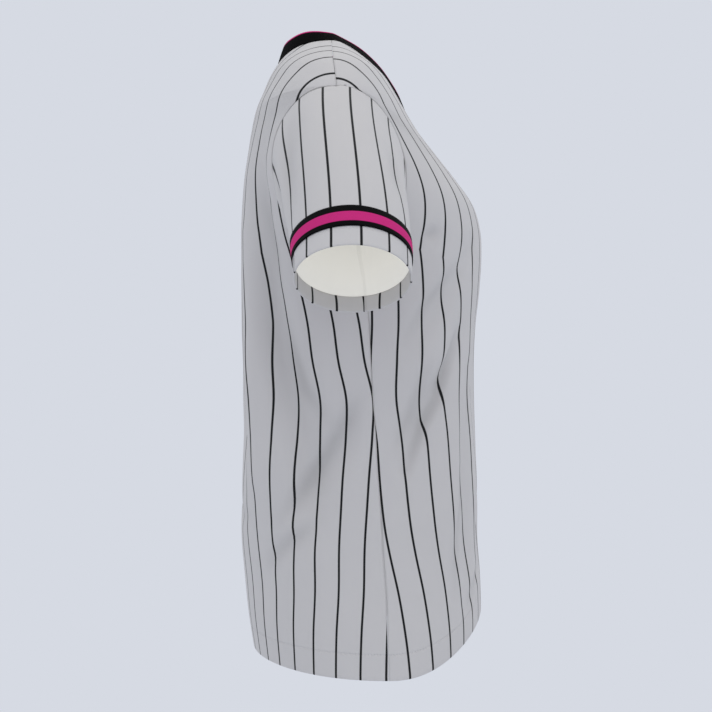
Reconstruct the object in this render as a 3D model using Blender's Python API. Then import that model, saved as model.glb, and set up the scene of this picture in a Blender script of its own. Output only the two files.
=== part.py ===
"""V-neck short-sleeved baseball jersey of pinstriped knit, hollow and filled out as if worn.

Front is -Y, the wearer's right is -X and up is +Z, all in metres. The origin is where the
wearer's neck and shoulders carry the garment: the middle of the neck opening, at the height
of the points where the shoulder seams meet the neckband.

The body is a stack of level sections. Each section is a rounded box: half its width, how far
it reaches to the front and to the back of the side seams, and how square its corners are.
Every panel is a grid laid on those sections, with its folds pressed in along its normals.
"""

import math

import bmesh
import bpy
import numpy as np

# Cloth and seams.
CLOTH = 0.0015
HEM_CLOTH = 0.0024
SEAM_GAP = 0.0003
ARMHOLE_GAP = 0.0006
BAND_WIDTH = 0.025
BAND_CLOTH = 0.0028
BRAID_WIDTH = 0.025
BRAID_CLOTH = 0.0009
BAND_GAP = 0.0004
BAND_TUCK = 0.0009
SEAM_CALM = 0.030

# Heights of the body's corners.
NECK_POINT_Z = 0.006
SHOULDER_TIP_Z = -0.061
UNDERARM_Z = -0.212
SIDE_HEM_Z = -0.643
FRONT_NECK_Z = -0.072
FRONT_HEM_Z = -0.594
BACK_NECK_Z = -0.010
BACK_HEM_Z = -0.638

# How round each panel's neckline is: 1 is a straight V.
NECK_BOW = {"front": 1.0, "back": 2.5}

# How far the armhole swings to the front and to the back of the shoulder tip.
ARMHOLE_FRONT = 0.064
ARMHOLE_BACK = 0.068
ARMHOLE_ROUNDNESS = 0.9

# Share of the panel's middle line above the shoulder tip's row and above the underarm's row.
MIDDLE_ABOVE_TIP = 0.10
MIDDLE_ABOVE_UNDERARM = 0.36

# Where the cloth turns over the shoulder: wholly above the first height, no more below it by
# the second.
TURN_OVER_Z = -0.06
TURN_OVER_DROP = 0.12

# Strength that a fold keeps at its two ends.
FOLD_END_STRENGTH = 0.35

# The sleeve's cuff: its middle on the wearer's left, its radius and how its axis leans out.
CUFF_MIDDLE = (0.291, 0.003, -0.2555)
CUFF_TURN = math.radians(6)
CUFF_RADIUS = 0.054
SLEEVE_LEAN = math.radians(32)
CUFF_HEM = 0.0175
CUFF_STATIONS = (
    CUFF_HEM + BRAID_WIDTH, CUFF_HEM + BRAID_WIDTH / 2, CUFF_HEM, CUFF_HEM / 2, 0.0,
)
SLEEVE_START = (0.84, 0.0, -0.54)
SLEEVE_START_PULL = 0.36
SLEEVE_END_PULL = 0.36
SLEEVE_MEAN_RADIUS = 0.0594
SLEEVE_CALM_TOP = 0.15
SLEEVE_CALM_LOW = 0.45

# Grid: rows from neckline to hem along the panel's outer edge, columns from the middle out.
SHOULDER_ROWS = 4
ARMHOLE_ROWS = 12
SIDE_ROWS = 15
HALF_COLUMNS = 15
SLEEVE_CAP_ROWS = 6
ROW_PASSES = 30
LINE_POINTS = 120

SHARP_ANGLE = math.radians(50)
ROUGHNESS = 0.75

# Level sections of the body.
SECTION_COLUMNS = (
    "z", "half_width", "seam_y", "front_reach", "back_reach", "front_square", "back_square",
)
SECTIONS = (
    (0.012, 0.068, 0.027, 0.022, 0.052, 2.0, 2.0),
    (0.006, 0.080, 0.026, 0.028, 0.056, 2.0, 2.0),
    (-0.004, 0.100, 0.025, 0.037, 0.059, 2.0, 2.0),
    (-0.015, 0.127, 0.024, 0.047, 0.066, 2.0, 2.0),
    (-0.027, 0.152, 0.023, 0.057, 0.073, 2.0, 2.0),
    (-0.043, 0.171, 0.021, 0.065, 0.081, 2.0, 2.05),
    (-0.061, 0.186, 0.019, 0.073, 0.090, 2.0, 2.1),
    (-0.085, 0.188, 0.018, 0.087, 0.096, 2.0, 2.2),
    (-0.110, 0.186, 0.017, 0.106, 0.100, 2.0, 2.5),
    (-0.135, 0.182, 0.015, 0.124, 0.105, 2.05, 2.8),
    (-0.162, 0.176, 0.012, 0.140, 0.110, 2.1, 3.0),
    (-0.190, 0.168, 0.006, 0.142, 0.117, 2.2, 3.3),
    (-0.220, 0.159, -0.002, 0.135, 0.125, 2.3, 3.5),
    (-0.250, 0.153, -0.008, 0.127, 0.131, 2.4, 3.6),
    (-0.290, 0.147, -0.013, 0.118, 0.136, 2.5, 3.6),
    (-0.330, 0.144, -0.015, 0.114, 0.138, 2.6, 3.6),
    (-0.370, 0.142, -0.017, 0.112, 0.140, 2.6, 3.5),
    (-0.405, 0.143, -0.020, 0.110, 0.142, 2.6, 3.4),
    (-0.440, 0.146, -0.022, 0.109, 0.145, 2.6, 3.2),
    (-0.480, 0.150, -0.025, 0.107, 0.149, 2.6, 2.8),
    (-0.520, 0.155, -0.027, 0.105, 0.152, 2.5, 2.4),
    (-0.560, 0.162, -0.030, 0.105, 0.152, 2.4, 2.2),
    (-0.600, 0.171, -0.031, 0.105, 0.149, 2.3, 2.15),
    (-0.645, 0.179, -0.032, 0.101, 0.143, 2.25, 2.1),
)

# Folds of the body, with columns panel, line, width, depth, mirror and lower. Each is a soft trough along a line of (distance from the panel's middle,
# height) points. Depth below zero makes a ridge. The mirror column presses the same fold in on
# the wearer's left, at that share of its depth and that much lower down.
FOLDS = (
    ("back", ((0.150, -0.120), (0.140, -0.202), (0.138, -0.250), (0.140, -0.290),
              (0.148, -0.325), (0.160, -0.372), (0.172, -0.420), (0.178, -0.470)),
     0.024, 0.020, 0.8, 0.02),
    ("back", ((0.105, -0.200), (0.108, -0.280), (0.108, -0.370), (0.108, -0.450)),
     0.014, -0.006, 0.8, 0.02),
    ("back", ((0.240, -0.366), (0.223, -0.393), (0.205, -0.429), (0.185, -0.450),
              (0.163, -0.481)), 0.016, 0.008, 0.7, -0.02),
    ("back", ((0.194, -0.492), (0.170, -0.507), (0.145, -0.535)), 0.014, 0.004, 1.2, 0.03),
    ("back", ((0.050, -0.330), (0.060, -0.400), (0.066, -0.460)), 0.020, 0.005, 0.6, -0.05),
    ("front", ((0.152, -0.195), (0.165, -0.212)), 0.010, 0.003, 0.8, 0.01),
    ("front", ((0.094, -0.212), (0.118, -0.241), (0.147, -0.280), (0.173, -0.316)),
     0.013, 0.006, 0.7, -0.015),
    ("front", ((0.112, -0.300), (0.121, -0.326), (0.149, -0.367), (0.165, -0.393),
               (0.185, -0.437)), 0.009, 0.007, 0.9, 0.02),
    ("front", ((0.151, -0.337), (0.173, -0.383), (0.195, -0.422)), 0.013, 0.003, 1.1, 0.0),
    ("front", ((0.085, -0.340), (0.097, -0.420), (0.100, -0.480), (0.108, -0.530),
               (0.117, -0.575)), 0.014, 0.006, 0.8, 0.0),
    ("front", ((0.040, -0.290), (0.052, -0.360), (0.048, -0.420)), 0.018, 0.004, 0.7, -0.04),
)

# Folds of the sleeve, with columns line, width and depth. The line's points are (distance
# round from the sleeve's top line, share of the way down).
SLEEVE_FOLDS = (
    (((0.045, 0.18), (0.058, 0.42), (0.066, 0.66)), 0.012, 0.0040),
    (((0.088, 0.10), (0.092, 0.40), (0.104, 0.62)), 0.010, 0.0045),
    (((-0.058, 0.35), (-0.066, 0.62)), 0.012, 0.0030),
    (((-0.104, 0.15), (-0.100, 0.45)), 0.011, 0.0030),
)

# Which way the neckband's face points, from the point of the V round to the back's middle,
# with columns share of the way round, out, back and up.
BAND_FACES = (
    (0.00, 0.00, -0.98, 0.18),
    (0.12, 0.10, -0.96, 0.26),
    (0.25, 0.26, -0.80, 0.54),
    (0.42, 0.46, -0.40, 0.79),
    (0.52, 0.50, 0.12, 0.86),
    (0.70, 0.50, 0.64, 0.58),
    (0.85, 0.30, 0.88, 0.36),
    (1.00, 0.00, 0.96, 0.27),
)

GREY = (0.51, 0.515, 0.535, 1.0)
BLACK = (0.008, 0.008, 0.009, 1.0)
MAGENTA = (0.53, 0.032, 0.21, 1.0)


def smooth_between(xs, ys, x):
    """Values of a smooth curve through the table's points, level with it at both ends."""
    xs, ys = np.asarray(xs, float), np.asarray(ys, float)
    slopes = np.gradient(ys, xs)
    x = np.clip(x, xs[0], xs[-1])
    at = np.clip(np.searchsorted(xs, x, side="right") - 1, 0, len(xs) - 2)
    span = xs[at + 1] - xs[at]
    t = (x - xs[at]) / span
    return (
        (2 * t**3 - 3 * t**2 + 1) * ys[at]
        + (t**3 - 2 * t**2 + t) * span * slopes[at]
        + (3 * t**2 - 2 * t**3) * ys[at + 1]
        + (t**3 - t**2) * span * slopes[at + 1]
    )


def section(column, z):
    """One size of the body's level section at height z."""
    rows = SECTIONS[::-1]
    place = SECTION_COLUMNS.index(column)
    return smooth_between([row[0] for row in rows], [row[place] for row in rows], z)


def ease(t):
    """Zero to one with a level start and end."""
    t = np.clip(t, 0.0, 1.0)
    return t * t * (3 - 2 * t)


def reach(panel, z):
    return section(panel + "_reach", z)


def body_point(panel, turn, z):
    """A point of the body on its left half: turn goes from 0 at the middle to 1 at the seam."""
    power = 2 / section(panel + "_square", z)
    angle = turn * math.pi / 2
    x = section("half_width", z) * np.sin(angle) ** power
    away = reach(panel, z) * np.cos(angle) ** power
    sign = -1 if panel == "front" else 1
    return np.stack([x, section("seam_y", z) + sign * away, z], axis=-1)


def turn_at(panel, away, z):
    """The turn at which the body is that far in front of or behind its seam line."""
    share = np.clip(away / reach(panel, z), 0.0, 1.0)
    return np.arccos(share ** (section(panel + "_square", z) / 2)) * 2 / math.pi


def outer_edge(panel):
    """Height and turn of each row's end: shoulder seam, then armhole, then side seam."""
    gap = SEAM_GAP / 2
    shoulder = np.linspace(NECK_POINT_Z, SHOULDER_TIP_Z, SHOULDER_ROWS + 1)
    swing = np.linspace(0, math.pi, ARMHOLE_ROWS + 1)
    middle, half = (SHOULDER_TIP_Z + UNDERARM_Z) / 2, (SHOULDER_TIP_Z - UNDERARM_Z) / 2
    armhole = middle + half * np.cos(swing)
    wide = ARMHOLE_FRONT if panel == "front" else ARMHOLE_BACK
    side = np.linspace(UNDERARM_Z, SIDE_HEM_Z, SIDE_ROWS + 1)
    z = np.concatenate([shoulder, armhole[1:], side[1:]])
    away = np.concatenate([
        np.full(SHOULDER_ROWS, gap),
        gap + wide * np.sin(swing) ** ARMHOLE_ROUNDNESS,
        np.full(SIDE_ROWS, gap),
    ])
    return z, turn_at(panel, away, z)


def inner_edge(panel, rows):
    """Height of each row on the panel's middle line."""
    top, bottom = (
        (FRONT_NECK_Z, FRONT_HEM_Z) if panel == "front" else (BACK_NECK_Z, BACK_HEM_Z)
    )
    share = smooth_between(
        (0, SHOULDER_ROWS, SHOULDER_ROWS + ARMHOLE_ROWS, rows - 1),
        (0, MIDDLE_ABOVE_TIP, MIDDLE_ABOVE_UNDERARM, 1),
        np.arange(rows),
    )
    return top + (bottom - top) * share


def spaced_evenly(points, count):
    """The same line with count points spread evenly along it."""
    steps = np.linalg.norm(np.diff(points, axis=0), axis=1)
    along = np.concatenate([[0], np.cumsum(steps)])
    wanted = np.linspace(0, along[-1], count)
    return np.stack([np.interp(wanted, along, points[:, k]) for k in range(3)], axis=1)


def half_panel(panel):
    """The left half of a panel without folds: rows of points from its middle to its edge."""
    fine = np.linspace(0, 1, LINE_POINTS)
    z_out, turn_out = outer_edge(panel)
    z_in = inner_edge(panel, len(z_out))
    rows = []
    for k, (end_z, end_turn) in enumerate(zip(z_out, turn_out)):
        turn = fine * end_turn
        end_x = body_point(panel, end_turn, end_z)[0]
        near_neck = max(0.0, 1 - k / SHOULDER_ROWS)
        bow = 1 + k / (len(z_out) - 1) + (NECK_BOW[panel] - 1) * near_neck
        z = np.full_like(turn, end_z)
        for _ in range(ROW_PASSES):
            x = body_point(panel, turn, z)[:, 0]
            wanted = z_in[k] + (end_z - z_in[k]) * np.clip(x / end_x, 0, 1) ** bow
            z = (z + wanted) / 2
        rows.append(spaced_evenly(body_point(panel, turn, z), HALF_COLUMNS + 1))
    return np.array(rows)


def cloth_distance(grid):
    """How far round the cloth each point is from the panel's middle line.

    Above the armhole only the way across counts, since there the cloth turns over the
    shoulder along its length.
    """
    steps = np.diff(grid, axis=1)
    round_body = ease((TURN_OVER_Z - grid[:, 1:, 2]) / TURN_OVER_DROP)
    across = np.sqrt(steps[:, :, 0] ** 2 + round_body * steps[:, :, 1] ** 2)
    return np.concatenate([np.zeros((len(grid), 1)), np.cumsum(across, axis=1)], axis=1)


def fold_depth(at, line, width, depth):
    """How deep a trough is at each (across, along) place, fading out at the line's ends."""
    line = np.asarray(line, float)
    best = np.full(at.shape[:-1], 9.0)
    share = np.zeros(at.shape[:-1])
    lengths = np.linalg.norm(np.diff(line, axis=0), axis=1)
    done = 0.0
    for start, step, length in zip(line[:-1], np.diff(line, axis=0), lengths):
        t = np.clip(((at - start) @ step) / length**2, 0, 1)
        away = np.linalg.norm(at - start - t[..., None] * step, axis=-1)
        nearer = away < best
        best = np.where(nearer, away, best)
        share = np.where(nearer, (done + t * length) / lengths.sum(), share)
        done += length
    strength = FOLD_END_STRENGTH + (1 - FOLD_END_STRENGTH) * np.sin(math.pi * share)
    return depth * strength * np.exp(-((best / width) ** 2))


def body_folds(panel, across, z, mirrored):
    total = np.zeros(across.shape)
    for name, line, width, depth, mirror, lower in FOLDS:
        if name != panel:
            continue
        drop = lower if mirrored else 0.0
        share = mirror if mirrored else 1.0
        at = np.stack([across, z + drop], axis=-1)
        total += fold_depth(at, line, width, depth * share)
    return total


def normals(grid, closed=False):
    """Unit normals of a grid of points, rows running down and columns running across."""
    across = np.gradient(grid, axis=1)
    if closed:
        across = (np.roll(grid, -1, axis=1) - np.roll(grid, 1, axis=1)) / 2
    out = np.cross(across, np.gradient(grid, axis=0))
    return out / np.linalg.norm(out, axis=2, keepdims=True)


def panel_sheet(panel):
    """A whole panel's outer points, right edge to left edge, with their outward normals."""
    base = half_panel(panel)
    normal = normals(base)
    if (normal[:, 0, 1].mean() < 0) != (panel == "front"):
        normal = -normal
    normal[:, 0, 0] = 0
    seams = np.r_[0 : SHOULDER_ROWS + 1, SHOULDER_ROWS + ARMHOLE_ROWS : len(base)]
    normal[seams, -1, 1] = 0
    normal /= np.linalg.norm(normal, axis=2, keepdims=True)
    across = cloth_distance(base)
    from_edge = across[:, -1:] - across
    from_top = base[:1, :, 2] - base[:, :, 2]
    calm = ease(from_edge / SEAM_CALM) * ease(from_top / SEAM_CALM)
    left, right = (
        base - normal * (body_folds(panel, across, base[:, :, 2], is_left) * calm)[..., None]
        for is_left in (True, False)
    )
    flip = np.array([-1.0, 1.0, 1.0])
    sheet = np.concatenate([right[:, :0:-1] * flip, left], axis=1)
    return sheet, np.concatenate([normal[:, :0:-1] * flip, normal], axis=1)


def armhole(front, back):
    """The left armhole's points: from the shoulder tip back and down, then round and up."""
    rows = slice(SHOULDER_ROWS, SHOULDER_ROWS + ARMHOLE_ROWS + 1)
    behind, ahead = back[rows, -1], front[rows, -1]
    top, low = (behind[:1] + ahead[:1]) / 2, (behind[-1:] + ahead[-1:]) / 2
    return np.concatenate([top, behind[1:-1], low, ahead[-2:0:-1]])


def unit(vectors):
    return vectors / np.linalg.norm(vectors, axis=-1, keepdims=True)


def sleeve_sheet(loop, seam_normal):
    """The left sleeve's outer points and normals: rows from armhole to rim, columns round."""
    axis = np.array([math.sin(SLEEVE_LEAN), 0.0, -math.cos(SLEEVE_LEAN)])
    out = np.array([math.cos(SLEEVE_LEAN), 0.0, math.sin(SLEEVE_LEAN)])
    along_loop = np.roll(loop, -1, axis=0) - np.roll(loop, 1, axis=0)
    outward = unit(np.cross(along_loop, seam_normal))
    outward *= np.sign((outward * (loop - loop.mean(axis=0))).sum()) * -1
    loop = loop + outward * ARMHOLE_GAP
    steps = np.linalg.norm(np.roll(loop, -1, axis=0) - loop, axis=1)
    angle = (np.concatenate([[0], np.cumsum(steps)[:-1]]) / steps.sum() * 2 * math.pi)[:, None]
    turned = angle + CUFF_TURN
    rim = CUFF_MIDDLE + CUFF_RADIUS * (np.cos(turned) * out + np.sin(turned) * [0.0, 1.0, 0.0])
    length = np.linalg.norm(rim - loop, axis=1, keepdims=True)
    from_rim = np.array(CUFF_STATIONS)
    t = np.linspace(0, 1, LINE_POINTS)[:, None, None]
    handle_in = loop + length * SLEEVE_START_PULL * unit(np.array(SLEEVE_START))
    handle_out = rim - length * SLEEVE_END_PULL * axis
    curve = (1 - t) ** 3 * loop + 3 * (1 - t) ** 2 * t * handle_in
    curve = curve + 3 * (1 - t) * t**2 * handle_out + t**3 * rim
    columns = []
    for k in range(len(loop)):
        line = curve[:, k]
        run = np.concatenate([[0], np.cumsum(np.linalg.norm(np.diff(line, axis=0), axis=1))])
        cap = np.linspace(0, run[-1] - from_rim[0], SLEEVE_CAP_ROWS + 1)[:-1]
        wanted = np.concatenate([cap, run[-1] - from_rim])
        columns.append(np.stack([np.interp(wanted, run, line[:, c]) for c in range(3)], axis=1))
    base = np.array(columns).transpose(1, 0, 2)
    normal = normals(base, closed=True)
    if (normal[-1] * (base[-1] - CUFF_MIDDLE)).sum() < 0:
        normal = -normal
    normal[0] = seam_normal
    round_top = np.where(angle[:, 0] > math.pi, angle[:, 0] - 2 * math.pi, angle[:, 0])
    across = np.broadcast_to(round_top * SLEEVE_MEAN_RADIUS, base.shape[:2])
    share = np.linspace(0, 1, len(base))[:, None] + np.zeros(base.shape[:2])
    at = np.stack([across, share * length.mean()], axis=-1)
    depth = sum(
        fold_depth(at, [(a, b * length.mean()) for a, b in line], width, depth)
        for line, width, depth in SLEEVE_FOLDS
    )
    depth = depth * ease(share / SLEEVE_CALM_TOP) * ease((1 - share) / SLEEVE_CALM_LOW)
    return base - normal * depth[..., None], normal


def neck_edges(front, back):
    """The neckband's lower and upper edges and its facing, from the V round to the back."""
    middle = HALF_COLUMNS
    ahead, behind = front[0, middle:], back[0, middle:][::-1]
    path = np.concatenate([ahead[:-1], (ahead[-1:] + behind[:1]) / 2, behind[1:]])
    run = np.concatenate([[0], np.cumsum(np.linalg.norm(np.diff(path, axis=0), axis=1))])
    share = run / run[-1]
    shares = [row[0] for row in BAND_FACES]
    face = unit(np.stack(
        [smooth_between(shares, [row[k] for row in BAND_FACES], share) for k in (1, 2, 3)],
        axis=1,
    ))
    along = np.gradient(path, axis=0)
    along[-1, 1:] = 0
    inward = unit(np.cross(face, unit(along)))
    if inward[:, 2].mean() < 0:
        inward = -inward
    upper = path + inward * BAND_WIDTH
    first = int(np.argmax(upper[:, 0] > 0))
    back_share = upper[first, 0] / (upper[first, 0] - upper[first - 1, 0])
    point = upper[first] + (upper[first - 1] - upper[first]) * back_share
    upper = np.concatenate([[point], upper[first:]])
    run_up = np.linalg.norm(np.diff(upper, axis=0), axis=1)
    run_up = np.concatenate([[0], np.cumsum(run_up)])
    upper = np.stack(
        [np.interp(share, run_up / run_up[-1], upper[:, k]) for k in range(3)], axis=1
    )
    upper[-1, 0] = 0
    lower = path + unit(upper - path) * BAND_GAP
    return lower, upper, face


def neckband_rings():
    """Closed sections of the folded neckband, all the way round the neck."""
    lower, upper, face = neck_edges(*(panel_sheet(name)[0] for name in ("front", "back")))
    rise = upper - lower
    tuck = unit(rise) * BAND_TUCK
    rings = np.stack(
        [
            lower,
            lower + rise * 0.5,
            upper - tuck,
            upper - face * BAND_CLOTH * 0.5,
            upper - tuck - face * BAND_CLOTH,
            lower + rise * 0.5 - face * BAND_CLOTH,
            lower + tuck - face * BAND_CLOTH,
        ],
        axis=1,
    )
    flip = np.array([-1.0, 1.0, 1.0])
    return np.concatenate([rings, rings[-2:0:-1] * flip])


def paint(thing, colour):
    material = bpy.data.materials.new(thing.name + " cloth")
    material.use_nodes = True
    shader = material.node_tree.nodes["Principled BSDF"]
    shader.inputs["Base Color"].default_value = colour
    shader.inputs["Roughness"].default_value = ROUGHNESS
    shader.inputs["Metallic"].default_value = 0.0
    thing.data.materials.append(material)


def grid_mesh(rows, columns, closed):
    """A bmesh grid whose vertices carry their place in a table of rows and columns."""
    bm = bmesh.new()
    place = bm.verts.layers.int.new("place")
    spans = columns if closed else columns - 1
    bmesh.ops.create_grid(bm, x_segments=spans, y_segments=rows - 1, size=1)
    for vert in bm.verts:
        column = round((vert.co.x + 1) / 2 * spans)
        row = round((1 - vert.co.y) / 2 * (rows - 1))
        vert[place] = row * columns + column % columns
        turn = 2 * math.pi * (column % columns) / columns
        if closed:
            vert.co = (math.cos(turn), math.sin(turn), float(row))
    if closed:
        bmesh.ops.remove_doubles(bm, verts=bm.verts, dist=1e-5)
    return bm, place


def add_solid(name, bm, colour):
    bmesh.ops.triangulate(bm, faces=bm.faces[:])
    bmesh.ops.recalc_face_normals(bm, faces=bm.faces[:])
    mesh = bpy.data.meshes.new(name)
    bm.to_mesh(mesh)
    bm.free()
    mesh.shade_smooth()
    mesh.set_sharp_from_angle(angle=SHARP_ANGLE)
    thing = bpy.data.objects.new(name, mesh)
    bpy.context.scene.collection.objects.link(thing)
    paint(thing, colour)


def cloth_wall(name, outer, inner, colour, closed=False):
    """A closed wall of cloth between two like grids of points."""
    rows, columns = outer.shape[:2]
    bm, place = grid_mesh(rows, columns, closed)
    kept = list(bm.verts)
    grown = bmesh.ops.extrude_face_region(bm, geom=bm.faces[:], use_keep_orig=True)
    lifted = [item for item in grown["geom"] if isinstance(item, bmesh.types.BMVert)]
    for verts, points in ((kept, inner), (lifted, outer)):
        flat = points.reshape(-1, 3)
        for vert in verts:
            vert.co = flat[vert[place]]
    add_solid(name, bm, colour)


def ring_solid(name, rings, colour):
    """A closed band made of like sections joined in a loop."""
    count, points = rings.shape[:2]
    bm, place = grid_mesh(count, points, closed=True)
    flat = rings.reshape(-1, 3)
    for vert in bm.verts:
        vert.co = flat[vert[place]]
    first = [edge for edge in bm.edges if edge.is_boundary]
    bmesh.ops.bridge_loops(bm, edges=first)
    add_solid(name, bm, colour)


def make_panels():
    for name in ("front", "back"):
        sheet, normal = panel_sheet(name)
        thick = np.full(len(sheet), CLOTH)
        thick[-2:] = HEM_CLOTH
        cloth_wall(name, sheet, sheet - normal * thick[:, None, None], GREY)


def make_sleeves():
    sheets = [panel_sheet(name) for name in ("front", "back")]
    loop = armhole(*(sheet for sheet, _ in sheets))
    seam_normal = unit(armhole(*(normal for _, normal in sheets)))
    sheet, normal = sleeve_sheet(loop, seam_normal)
    thick = np.full(len(sheet), CLOTH)
    thick[-2:] = HEM_CLOTH
    under = sheet - normal * thick[:, None, None]
    braid_rows = slice(SLEEVE_CAP_ROWS, SLEEVE_CAP_ROWS + 3)
    below = sheet[braid_rows] + normal[braid_rows] * SEAM_GAP
    above = below + normal[braid_rows] * BRAID_CLOTH
    for side, flip in (("left", (1, 1, 1)), ("right", (-1, 1, 1))):
        cloth_wall("sleeve_" + side, sheet * flip, under * flip, GREY, closed=True)
        cloth_wall("sleeve_braid_" + side, above * flip, below * flip, MAGENTA, closed=True)


def main():
    for old in list(bpy.data.objects):
        bpy.data.objects.remove(old, do_unlink=True)
    make_panels()
    make_sleeves()
    ring_solid("neckband", neckband_rings(), BLACK)


main()
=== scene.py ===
import math

import bmesh
import bpy
import numpy as np
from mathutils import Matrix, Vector


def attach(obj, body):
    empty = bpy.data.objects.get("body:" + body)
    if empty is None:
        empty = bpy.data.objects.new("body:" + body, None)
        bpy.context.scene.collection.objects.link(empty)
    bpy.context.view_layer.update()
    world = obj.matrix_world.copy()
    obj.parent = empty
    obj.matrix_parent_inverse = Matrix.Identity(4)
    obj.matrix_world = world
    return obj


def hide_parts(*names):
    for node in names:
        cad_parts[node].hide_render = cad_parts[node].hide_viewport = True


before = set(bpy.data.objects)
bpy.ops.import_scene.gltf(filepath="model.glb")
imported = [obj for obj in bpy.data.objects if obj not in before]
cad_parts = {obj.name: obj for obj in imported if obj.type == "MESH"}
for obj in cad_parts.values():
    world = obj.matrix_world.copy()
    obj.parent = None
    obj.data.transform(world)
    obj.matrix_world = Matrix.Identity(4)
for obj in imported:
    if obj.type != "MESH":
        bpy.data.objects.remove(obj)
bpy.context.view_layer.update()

bl_info = {
    "name": "Pinstriped sports jersey",
    "version": (1, 0, 0),
    "blender": (4, 5, 0),
    "location": "3D View > Sidebar > Jersey",
    "description": "Dresses the packed jersey in pinstriped knit, neckband and braids",
    "category": "Object",
}

# Front is -Y, the wearer's right is -X and up is +Z, all in metres. The body's form is the same
# stack of level sections as the solids', read at a finer step.

# Heights of the body's corners.
NECK_POINT_Z = 0.006
SHOULDER_TIP_Z = -0.061
UNDERARM_Z = -0.212
SIDE_HEM_Z = -0.643
FRONT_NECK_Z = -0.072
FRONT_HEM_Z = -0.594
BACK_NECK_Z = -0.010
BACK_HEM_Z = -0.638

# How round each panel's neckline is, where 1 is a straight V.
NECK_BOW = {"front": 1.0, "back": 2.5}

# How far the armhole swings to the front and to the back of the shoulder tip.
ARMHOLE_FRONT = 0.064
ARMHOLE_BACK = 0.068
ARMHOLE_ROUNDNESS = 0.9

# Share of the panel's middle line above the shoulder tip's row and above the underarm's row.
MIDDLE_ABOVE_TIP = 0.10
MIDDLE_ABOVE_UNDERARM = 0.36

# Where the cloth turns over the shoulder.
TURN_OVER_Z = -0.06
TURN_OVER_DROP = 0.12

# Strength that a fold keeps at its ends, and how far from a seam it is at its full depth.
FOLD_END_STRENGTH = 0.35
SEAM_CALM = 0.030

# The sleeve's cuff: its middle on the wearer's left, its turn, its radius and how far from
# upright the arm's axis leans out.
CUFF_MIDDLE = (0.291, 0.003, -0.2555)
CUFF_TURN = math.radians(6)
CUFF_RADIUS = 0.054
SLEEVE_LEAN = math.radians(32)
SLEEVE_AXIS = np.array([math.sin(SLEEVE_LEAN), 0.0, -math.cos(SLEEVE_LEAN)])

# The way the sleeve leaves the armhole, how far each end keeps its way as a share of the
# length, and the sizes of the sleeve's middle and hem.
SLEEVE_START = (0.84, 0.0, -0.54)
SLEEVE_START_PULL = 0.36
SLEEVE_END_PULL = 0.36
SLEEVE_MEAN_RADIUS = 0.0594
CUFF_HEM = 0.0175
BRAID_WIDTH = 0.025

# Share of the sleeve's length over which its folds grow at the top and fade at the cuff.
SLEEVE_CALM_TOP = 0.15
SLEEVE_CALM_LOW = 0.45

# Rows and columns of the solids' panels, and how many finer steps the cloth has in each.
SHOULDER_ROWS = 4
ARMHOLE_ROWS = 12
SIDE_ROWS = 15
HALF_COLUMNS = 15
FINER = 6
ROW_PASSES = 30
LINE_POINTS = 120
SLEEVE_ROWS = 60
SLEEVE_LOW_ROWS = 20
BAND_ROWS = 9

# Cloth and seams. The sleeve stands a little further off at the armhole.
CLOTH = 0.0007
SEAM_GAP = 0.0003
ARMHOLE_GAP = 0.0006
HEM_FOLD_SPACE = 0.0017
HEM_FOLD_STEPS = 5
BODY_HEM = 0.024
BAND_WIDTH = 0.025
BAND_GAP = 0.0004
BAND_FOLD_SPACE = 0.0028
BAND_CROWN = 0.0003
BAND_KNIT = 0.0010
BRAID_CLOTH = 0.0009
BRAID_EDGE = 0.55
BRAID_MIDDLE = 0.0105

# Points nearer than this are one point.
CLOSE = 1e-6

# Turns a point of the left side into one of the right.
MIRROR = np.array([-1.0, 1.0, 1.0])

# Depth of a fold at which the shade painted into the cloth's colour along its trough is full, and
# how much that painted shade darkens the colour.
FOLD_SHADE_DEPTH = 0.040
CREASE_SHADE_DEPTH = 0.0045
SLEEVE_SHADE_DEPTH = 0.006
HOLLOW_SHADE = 0.16

# Where the first stripe lies, in stripe spacings from a piece's middle line.
BODY_PHASE = 0.0
SLEEVE_PHASE = 0.5

# Relief and print of the cloth, in metres but for COURSE_SHARE, TONE_DEPTH and NOISE values.
COURSE_SHARE = 0.8
KNIT_HEIGHT = 0.00006
STRIPE_SOFT = 0.0003
TONE_SIZE = 0.05
TONE_DEPTH = 0.03
SEAM_GROOVE = 0.0006
SEAM_DEPTH = 0.0002
STITCH_GROOVE = 0.0009
STITCH_DEPTH = 0.0004
PUCKER_SIZE = 0.03
PUCKER_HEIGHT = 0.0008
NOISE_DETAIL = 2.0
NOISE_ROUGHNESS = 0.4
RIB_HEIGHT = 0.0001
TIPPING_OUT = 0.0016
TIPPING_SOFT = 0.0003
BRAID_LOOP = 0.0018
BRAID_RELIEF = 0.00012
BRAID_SOFT = 0.0003

# How each material takes the light, and the painted glow of the inside's own colour that stands in
# for daylight through the thin cloth.
KNIT_FINISH = {
    "Roughness": 0.82, "Specular IOR Level": 0.3, "Sheen Weight": 0.12, "Sheen Roughness": 0.4,
}
INSIDE_FINISH = {"Roughness": 0.9, "Specular IOR Level": 0.2, "Sheen Weight": 0.1}
RIB_FINISH = {"Roughness": 0.85, "Specular IOR Level": 0.03}
BRAID_FINISH = {"Roughness": 0.7, "Specular IOR Level": 0.06}
PAPER_FINISH = {"Roughness": 1.0, "Specular IOR Level": 0.0}
# Painted light: the sleeve's inside glows with its own colour, and the body's inside does not.
SLEEVE_GLOW = 0.33
BODY_GLOW = 0.0
BLACK = (0.0, 0.0, 0.0, 1.0)
WHITE = (1.0, 1.0, 1.0, 1.0)

# Places of the colour sockets on a Mix node that mixes colours.
COLOUR_A = 6
COLOUR_B = 7
COLOUR_OUT = 2

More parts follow.
